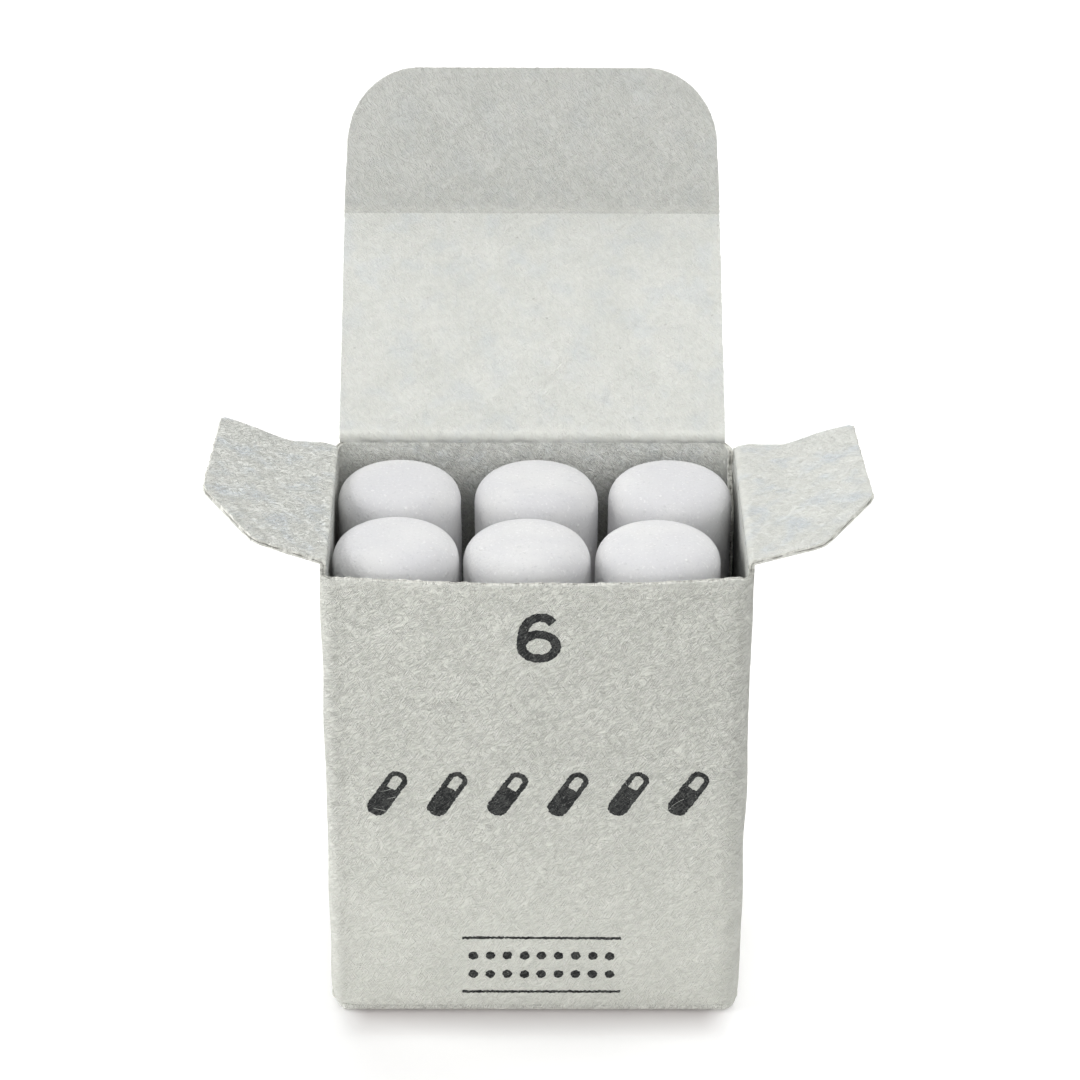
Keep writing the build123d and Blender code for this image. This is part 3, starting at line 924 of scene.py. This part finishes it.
def dust_board(name, side):
    """A dust flap with its crease and its loose fibres. side is -1 on the left and 1 on the right."""
    axis = HINGE[f"dust_fold_{name}"]
    reach, lean = far_end(f"dust_flap_{name}", axis, 0)
    flat = JOIN - FOLD_SETBACK
    line, crease, length = creased((abs(axis[0]), axis[2] - JOIN), flat, FOLD_SETBACK, reach - FOLD_SETBACK,
                                   (0, lean))
    shift = length - reach      # v of a point is its distance from the crease plus this
    warp, torn = waves(41 + side, 6.0), waves(44 + side, 0.9)

    def lift(y, v):
        out = v - shift
        back = ease(y, -6.0, 6.5)
        before = np.clip(out / DUST_VALLEY, 0, 1) ** 1.8
        valley = np.where(out < DUST_VALLEY, before, hill(out, DUST_VALLEY, 2.2))
        sag = -DUST_CURL * back * (valley - 0.3 * hill(out, 0.9, 0.5))
        return sag + 0.04 * warp(y, v) * ease(out, 0.6, 2.5)

    def span(v):
        out = v - shift
        into = np.clip((out - DUST_CHAMFER_START) / (reach - DUST_CHAMFER_START), 0, 1)
        front = DUST_FRONT_Y + (DUST_CHAMFER_Y - DUST_FRONT_Y) * into
        front = front + 0.12 * hill(out, DUST_CHAMFER_START, 0.35)
        back = np.interp(out, [0.3, DUST_BACK_DIP[0], reach],
                         [DUST_BACK_Y, DUST_BACK_DIP[1], DUST_BACK_TIP_Y])
        tip = 0.22 * ease(out, reach - 0.3, reach) ** 2
        return front + tip, back - tip

    def inner_painted_shading(y, v):
        """The crease is scored from inside: its ragged line is painted dark, as the shade in the score, over
        the flap's painted shade.
        """
        score_shade = hill(v, flat - 0.14 + 0.06 * torn(y, 0 * y), 0.12)
        return DUST_PAINTED_SHADE[name] - DUST_SCORE_PAINTED_SHADE * score_shade * np.clip(0.6 + 0.8 * torn(0.7 * y, 0 * y + 9), 0, 1.3)

    square = bent_sheet(line, ALONG_Y, side * ALONG_X, UP, lift)

    def surface(y, v):
        inset = DUST_SLANT * np.clip((y - DUST_CHAMFER_Y) / (DUST_BACK_TIP_Y - DUST_CHAMFER_Y), 0, 1)
        return square(y, v - inset * ease(v - shift, reach - 4, reach))

    rows = stations((0, 1.4, 0.07), (1.4, length - 0.3, FINE), (length - 0.3, length, 0.06))
    share = stations((0, 1, FINE / (DUST_BACK_Y - DUST_FRONT_Y)))
    made, edge = board(
        f"dust_board_{name}", [f"dust_crease_{name}", f"dust_flap_{name}"], 47 + side, rows, share, span,
        surface, cut_sides(1, 2, 3), ridge(0.6, crease, 0.3), same(DUST_PAINTED_SHADE[name]), inner_painted_shading,
        ridge(0.05, crease + 0.1, 0.28), same(DUST_RELIEF[name]), cool=0.85)
    blend_over(made)
    face_fibres(f"dust_fibres_{name}", surface, (DUST_FRONT_Y + 0.6, DUST_BACK_Y - 1.4),
                (shift + 0.5, shift + DUST_CHAMFER_START), 1, 24, f"dust_flap_{name}", 139 + side)
    edge_fuzz(f"dust_fuzz_{name}", edge, 80, f"dust_flap_{name}", 109 + side, 0.3)


# ---- Bottom -------------------------------------------------------------------------------------
BOTTOM_ROUND = 0.3        # the front panel's lower fold starts this far above its axis
BOTTOM_CORNER = 1.8       # radius of the bottom tuck flap's corners


def bottom_board():
    """The bottom panel and the fold under the front panel."""
    axis = HINGE["bottom_fold"]
    half, end, _ = box_mm("bottom_panel")[1]
    line, crease, length = creased((axis[1], axis[2] + JOIN), JOIN - BOTTOM_ROUND, BOTTOM_ROUND,
                                   end - axis[1] - BOTTOM_ROUND, (180, 90))

    def span(v):
        edge = FLAT_X + (half - FLAT_X) * ease(v, 0.3, 1.0)
        return -edge, edge

    made, _ = board(
        "bottom_board", ["front_bottom_crease", "bottom_panel"], 61,
        stations((0, 1.2, 0.07), (1.2, length, 0.25)), stations((0, 1, 0.2 / (2 * half))), span,
        bent_sheet(line, ALONG_X, ALONG_Y, UP), cut_sides(1, 3), ridge(0.65, crease, 0.3))
    blend_over(made)


def bottom_tuck_board():
    """The bottom's tuck flap inside the back wall."""
    axis = HINGE["bottom_tuck_fold"]
    half, _, top = box_mm("bottom_tuck_flap")[1]
    start_y = box_mm("bottom_panel")[1][1]
    setback = axis[1] - start_y
    line, crease, length = creased((start_y, axis[2]), 0, setback, top - axis[2] - setback, (90, 0))

    def span(v):
        into = np.clip((v - (length - BOTTOM_CORNER)) / BOTTOM_CORNER, 0, 1)
        inset = BOTTOM_CORNER * (1 - np.sqrt(np.clip(1 - into ** 2, 0, 1)))
        return inset - half, half - inset

    corner_rows = length - BOTTOM_CORNER * (1 - np.sin(np.linspace(0, np.pi / 2, 16)[1:]))
    made, _ = board(
        "bottom_tuck_board", ["bottom_tuck_crease", "bottom_tuck_flap"], 67,
        np.concatenate([stations((0, length - BOTTOM_CORNER, 0.12)), corner_rows]),
        stations((0, 1, 0.2 / (2 * half))), span, bent_sheet(line, ALONG_X, ALONG_Y, UP), cut_sides(1, 2, 3),
        ridge(0.6, crease, 0.3))
    blend_over(made)


def floor_flap(name, side):
    """A side wall's lower flap, folded in under the erasers."""
    low, high = box_mm(f"bottom_dust_flap_{name}")
    crease_high = box_mm(f"bottom_dust_crease_{name}")[1]
    radius = crease_high[2] - (low[2] + high[2]) / 2
    line, _, length = creased((-WALL_X, crease_high[2] + FLOOR_JOIN), FLOOR_JOIN, radius,
                              WALL_X - radius - (low[0] if side > 0 else -high[0]), (180, 90))
    made, _ = board(
        f"floor_flap_board_{name}", [f"bottom_dust_flap_{name}", f"bottom_dust_crease_{name}"], 71 + side,
        stations((0, 0.8, 0.08), (0.8, length, 0.3)), stations((0, 1, 0.25 / (high[1] - low[1]))),
        lambda v: (0 * v + low[1], 0 * v + high[1]), bent_sheet(line, ALONG_Y, -side * ALONG_X, UP),
        cut_sides(1, 2, 3))
    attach(made, "carton")


def glue_line():
    """A thin uneven smear of glue between the right wall and the glue flap."""
    low, high = box_mm("glue_line")
    y = stations((low[1], high[1], 0.15))
    z = stations((low[2], high[2], 0.3))
    edge_in = 0.22 * waves(81, 1.6)(z, 0 * z)
    edge_out = 0.05 * waves(82, 1.6)(z, 0 * z)
    taper = 1 - 0.25 * hill(z, z[0], 0.5) - 0.25 * hill(z, z[-1], 0.5)
    first, last = y[0] + abs(edge_in), y[-1] - abs(edge_out)
    half_width = (last - first) / 2 * taper
    places = ((first + last) / 2)[:, None] + np.linspace(-1, 1, len(y)) * half_width[:, None]
    sheets = [np.stack([0 * places + x, places, 0 * places + z[:, None]], -1) for x in (low[0], high[0])]
    faces = [grid_quads(*places.shape, 0), grid_quads(*places.shape, places.size)]
    row, column, _ = outline_of(*places.shape)
    loop = row * len(y) + column
    faces.append(np.stack([loop, np.roll(loop, -1), np.roll(loop, -1) + places.size, loop + places.size], 1))
    made = mesh_object("glue_smear", np.reshape(sheets, (-1, 3)), np.concatenate(faces).tolist(),
                       glue_material())
    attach(made, "carton")
    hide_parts("glue_line")


# ---- Erasers ------------------------------------------------------------------------------------
CAP_HEIGHT = 1.85         # an eraser end's rounding, over which it reaches full width
CAP_FLATNESS = 4.6        # how flat its middle is
CAP_SHOULDER = 2.2        # how round its shoulder is


def eraser(name, seed):
    """A moulded stick with rounded ends, a little out of round, with a few small dents."""
    random = np.random.default_rng(seed)
    low, high = box_mm(name)
    centre, radius = (low + high) / 2, (high[0] - low[0]) / 2
    turn = np.linspace(0, 2 * np.pi, 144, endpoint=False)
    # the end's line, from the axis out to the full width
    out = np.sin(np.linspace(0, np.pi / 2, 30)[1:]) ** 0.9
    drop = CAP_HEIGHT * (1 - np.clip(1 - out ** CAP_FLATNESS, 0, 1) ** (1 / CAP_SHOULDER))
    drop[-1] = CAP_HEIGHT
    body = np.linspace(low[2] + CAP_HEIGHT, high[2] - CAP_HEIGHT, 70)[1:-1]
    height = np.concatenate([low[2] + drop, body, (high[2] - drop)[::-1]])[:, None]
    width = np.concatenate([out, np.ones(len(body)), out[::-1]])[:, None] * radius
    arc = turn * radius
    change = 0.022 * waves(seed, 14.0)(arc * np.sin(turn), height)
    change = change + 0.008 * waves(seed + 1, 3.0)(arc * np.cos(turn), height)
    for _ in range(9):
        angle, below, size, depth = random.uniform((0, 0.3, 0.25, 0.02), (2 * np.pi, 4.0, 0.6, 0.05))
        away = np.angle(np.exp(1j * (turn - angle))) * width
        change = change - depth * hill(away, 0, size) * hill(height, high[2] - below, size)
    wide = width * (1 + change / radius) - 0.012
    x, y = centre[0] + wide * np.cos(turn), centre[1] + wide * np.sin(turn)
    rings = np.stack([x, y, height + 0 * wide], -1)
    points = np.concatenate([[(*centre[:2], low[2])], rings.reshape(-1, 3), [(*centre[:2], high[2])]])
    at = 1 + np.arange(wide.size).reshape(wide.shape)
    onward = np.roll(at, -1, 1)
    faces = np.stack([at[:-1], onward[:-1], onward[1:], at[1:]], -1).reshape(-1, 4).tolist()
    faces += [[0, b, a] for a, b in zip(at[0].tolist(), onward[0].tolist())]
    faces += [[len(points) - 1, a, b] for a, b in zip(at[-1].tolist(), onward[-1].tolist())]
    made = mesh_object(name.replace("eraser", "stick"), points, faces, ERASER_WHITE)
    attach(made, name)
    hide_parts(name)


# ---- Print --------------------------------------------------------------------------------------
def to_path(x, z, path):
    """Distance of each point from a line through the path's points."""
    nearest = np.full(x.shape, 1e9)
    for (ax, az), (bx, bz) in zip(path, path[1:]):
        dx, dz = bx - ax, bz - az
        t = np.clip(((x - ax) * dx + (z - az) * dz) / (dx * dx + dz * dz + 1e-12), 0, 1)
        nearest = np.minimum(nearest, np.hypot(x - ax - t * dx, z - az - t * dz))
    return nearest


def rounded_box(x, z, half_x, half_z, radius):
    """Distance outside a rounded box, negative inside it."""
    dx, dz = np.abs(x) - half_x + radius, np.abs(z) - half_z + radius
    outside = np.hypot(np.maximum(dx, 0), np.maximum(dz, 0))
    return outside + np.minimum(np.maximum(dx, dz), 0) - radius


def numeral_six(x, z):
    """A plain six: a wide oval bowl, and a stem that is part of a taller oval and is cut off square."""
    half_stroke, bowl_x, bowl_z, bowl_middle = 0.29, 1.07, 0.86, -0.61
    oval = np.hypot(x / bowl_x, (z - bowl_middle) / bowl_z)
    steep = np.hypot(x / bowl_x ** 2, (z - bowl_middle) / bowl_z ** 2) / (oval + 1e-9)
    bowl = np.abs(oval - 1) / (steep + 1e-9) - half_stroke
    stem_x, stem_z, middle = 1.15, 1.62, (0.1, -0.15)
    turn = np.radians(np.linspace(200, 38, 24))
    path = [(middle[0] + stem_x * math.cos(t), middle[1] + stem_z * math.sin(t)) for t in turn]
    stem = to_path(x, z, path) - half_stroke
    end = math.radians(48)
    onward = np.array([stem_x * math.sin(end), -stem_z * math.cos(end)])
    onward /= np.linalg.norm(onward)
    past_end = (x - middle[0] - stem_x * math.cos(end)) * onward[0]
    past_end = past_end + (z - middle[1] - stem_z * math.sin(end)) * onward[1]
    return np.minimum(bowl, np.maximum(stem, past_end))


def stick_row(x, z):
    """Six little sticks in a slanting row, each with a dark sleeve."""
    pitch, half_width, half_length, line = 3.78, 0.66, 1.78, 0.17
    x = x - np.clip(np.round(x / pitch - 0.5) + 0.5, -2.5, 2.5) * pitch
    slant = math.radians(32)
    x, z = x * math.cos(slant) - z * math.sin(slant), x * math.sin(slant) + z * math.cos(slant)
    shape = rounded_box(x, z, half_width, half_length, 0.6)
    outline = np.abs(shape + line) - line
    sleeve = np.maximum(shape, z - 0.45)
    return np.minimum(outline, sleeve)


def ruled_band(x, z):
    """Two fine rules with two rows of dots between them."""
    half_x, half_z, half_line = 5.1, 2.1, 0.09
    rules = np.maximum(np.abs(np.abs(z) - half_z) - half_line, np.abs(x) - half_x)
    pitch, row, dot = 1.1, 0.72, 0.31
    x = x - np.clip(np.round(x / pitch), -4, 4) * pitch
    return np.minimum(rules, np.hypot(x, np.abs(z) - row) - dot)


INK_STEP = 0.055          # spacing of the grid that the ink's outline is found on
INK_THICKNESS = 0.012     # above the board
INK_SUNK = 0.01           # and below its face


def printed(name, centre, size, distance, seed):
    """Ink on the front panel where distance(x, z) is below 0, with an outline roughened by the fibres."""
    xs = np.arange(-size[0] / 2, size[0] / 2 + INK_STEP, INK_STEP)
    zs = np.arange(-size[1] / 2, size[1] / 2 + INK_STEP, INK_STEP)
    x, z = np.meshgrid(xs, zs, indexing="ij")
    depth = distance(x, z) + 0.032 * waves(seed, 0.26, 60)(x, z) + 0.016 * waves(seed + 1, 0.9)(x, z)
    flat, faces, index = [], [], {}

    def point(a, b):
        """Number of the grid corner a, or of the point between a and b where the ink ends."""
        key = (min(a, b), max(a, b))
        if key not in index:
            t = 0 if a == b else np.clip(depth[a] / (depth[a] - depth[b]), 0.08, 0.92)
            index[key] = len(flat)
            flat.append((x[a] + t * (x[b] - x[a]), z[a] + t * (z[b] - z[a])))
        return index[key]

    ink = depth < 0
    touched = ink[:-1, :-1] | ink[1:, :-1] | ink[:-1, 1:] | ink[1:, 1:]
    for i, j in zip(*np.nonzero(touched)):
        round_cell = [(i, j), (i + 1, j), (i + 1, j + 1), (i, j + 1)]
        face = []
        for a, b in zip(round_cell, round_cell[1:] + round_cell[:1]):
            if ink[a]:
                face.append(point(a, a))
            if ink[a] != ink[b]:
                face.append(point(a, b))
        faces.append(face)
    flat = np.array(flat) + np.array(centre)
    top = front_face(flat[:, 0], flat[:, 1], INK_THICKNESS)
    under = front_face(flat[:, 0], flat[:, 1], -INK_SUNK)
    count = len(flat)
    rim = {}
    for face in faces:
        for a, b in zip(face, face[1:] + face[:1]):
            if rim.pop((b, a), None) is None:
                rim[(a, b)] = True
    walls = [[a, b, b + count, a + count] for a, b in rim]
    closed = faces + [[k + count for k in reversed(face)] for face in faces] + walls
    sheet = np.stack([flat[:, 1], V_FRONT + FLAT_X - flat[:, 0], np.full(count, -HALF)], 1)
    sheets = {"sheet": np.concatenate([sheet, sheet])}
    made = mesh_object(name, np.concatenate([top, under]), closed, INK, sheets)
    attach(made, "carton")


# ---- Stage --------------------------------------------------------------------------------------
CAMERA_PLACE = (-1.5, -188.26, 130.31)   # millimetres from the carton's base
CAMERA_DOWN = 28.03
CAMERA_LEFT = -0.523
CAMERA_ROLL = 0.356
CAMERA_LENS = 112.57                     # on a 36 mm sensor


def camera():
    """The photograph's viewing angle."""
    data = bpy.data.cameras.new("camera")
    data.lens = CAMERA_LENS
    data.sensor_width = 36
    data.clip_start = 0.01
    data.clip_end = 10
    made = bpy.data.objects.new("camera", data)
    bpy.context.scene.collection.objects.link(made)
    turn = Matrix.Rotation(math.radians(CAMERA_LEFT), 4, "Z")
    tip = Matrix.Rotation(math.radians(90 - CAMERA_DOWN), 4, "X")
    roll = Matrix.Rotation(math.radians(CAMERA_ROLL), 4, "Z")
    made.matrix_world = Matrix.Translation(Vector(CAMERA_PLACE) * MM) @ turn @ tip @ roll
    bpy.context.scene.camera = made


# places and sizes in metres, power in watts
SOFTBOXES = {
    "back_box": ((0, 0.45, 0.5), 0.5, 2.0),
    "front_box": ((0, -0.6, 0.35), 0.6, 2.45),
    "left_box": ((-0.6, 0, 0.25), 0.5, 3.2),
    "right_box": ((0.42, 0.1, 0.5), 0.5, 1.7),
    "top_box": ((0.05, 0.05, 0.6), 0.6, 0.75),
}
LIGHTS_AIM = (0, 0, 0.02)
TABLE_HALF = 1.5


def soft_light(name, place, size, power):
    """A square softbox."""
    data = bpy.data.lights.new(name, "AREA")
    data.size = size
    data.energy = power
    made = bpy.data.objects.new(name, data)
    made.location = place
    made.rotation_euler = (Vector(LIGHTS_AIM) - Vector(place)).to_track_quat("-Z", "Y").to_euler()
    bpy.context.scene.collection.objects.link(made)


def studio():
    """Soft light from all round, the table and the white wall behind it."""
    world = bpy.data.worlds.new("studio")
    world.use_nodes = True
    world.node_tree.nodes["Background"].inputs["Color"].default_value = (1, 1, 1, 1)
    world.node_tree.nodes["Background"].inputs["Strength"].default_value = WORLD_GLOW
    bpy.context.scene.world = world
    bpy.context.scene.view_settings.view_transform = "Standard"
    for name, settings in SOFTBOXES.items():
        soft_light(name, *settings)
    corners = TABLE_HALF * np.array([(-1, -1, 0), (1, -1, 0), (1, 1, 0), (-1, 1, 0)]) / MM - UP * TABLE_GAP
    floor = mesh_object("floor", corners, [[0, 1, 2, 3]], floor_material(), smooth=False)
    backdrop()


# ---- Everything ---------------------------------------------------------------------------------
wall_edge = carton_walls()
face_fibres("front_fibres", WALL, (9, RIM_Z - 1), (V_FRONT + 0.5, V_LEFT - CORNER_ARC - 0.5), -1, 110,
            "carton", 131)
lid_edge = lid_board()
tuck_edge = tuck_board()
edge_fuzz("wall_fuzz", wall_edge, 260, "carton", 101)
edge_fuzz("lid_fuzz", lid_edge, 50, "lid", 103, 0.2)
edge_fuzz("tuck_fuzz", tuck_edge, 70, "tuck", 107, 0.2)
for side, name in ((-1, "left"), (1, "right")):
    dust_board(name, side)
    floor_flap(name, side)
bottom_board()
bottom_tuck_board()
glue_line()
for k, name in enumerate(n for n in sorted(frame["nodes"]) if n.startswith("eraser_")):
    eraser(name, 201 + 7 * k)
printed("print_numeral", (0.1, 28.2), (3.4, 4.2), numeral_six, 301)
printed("print_stick_row", (0.1, 16.8), (22.6, 3.8), stick_row, 311)
printed("print_ruled_band", (0.4, 3.75), (10.8, 4.8), ruled_band, 321)
studio()
camera()
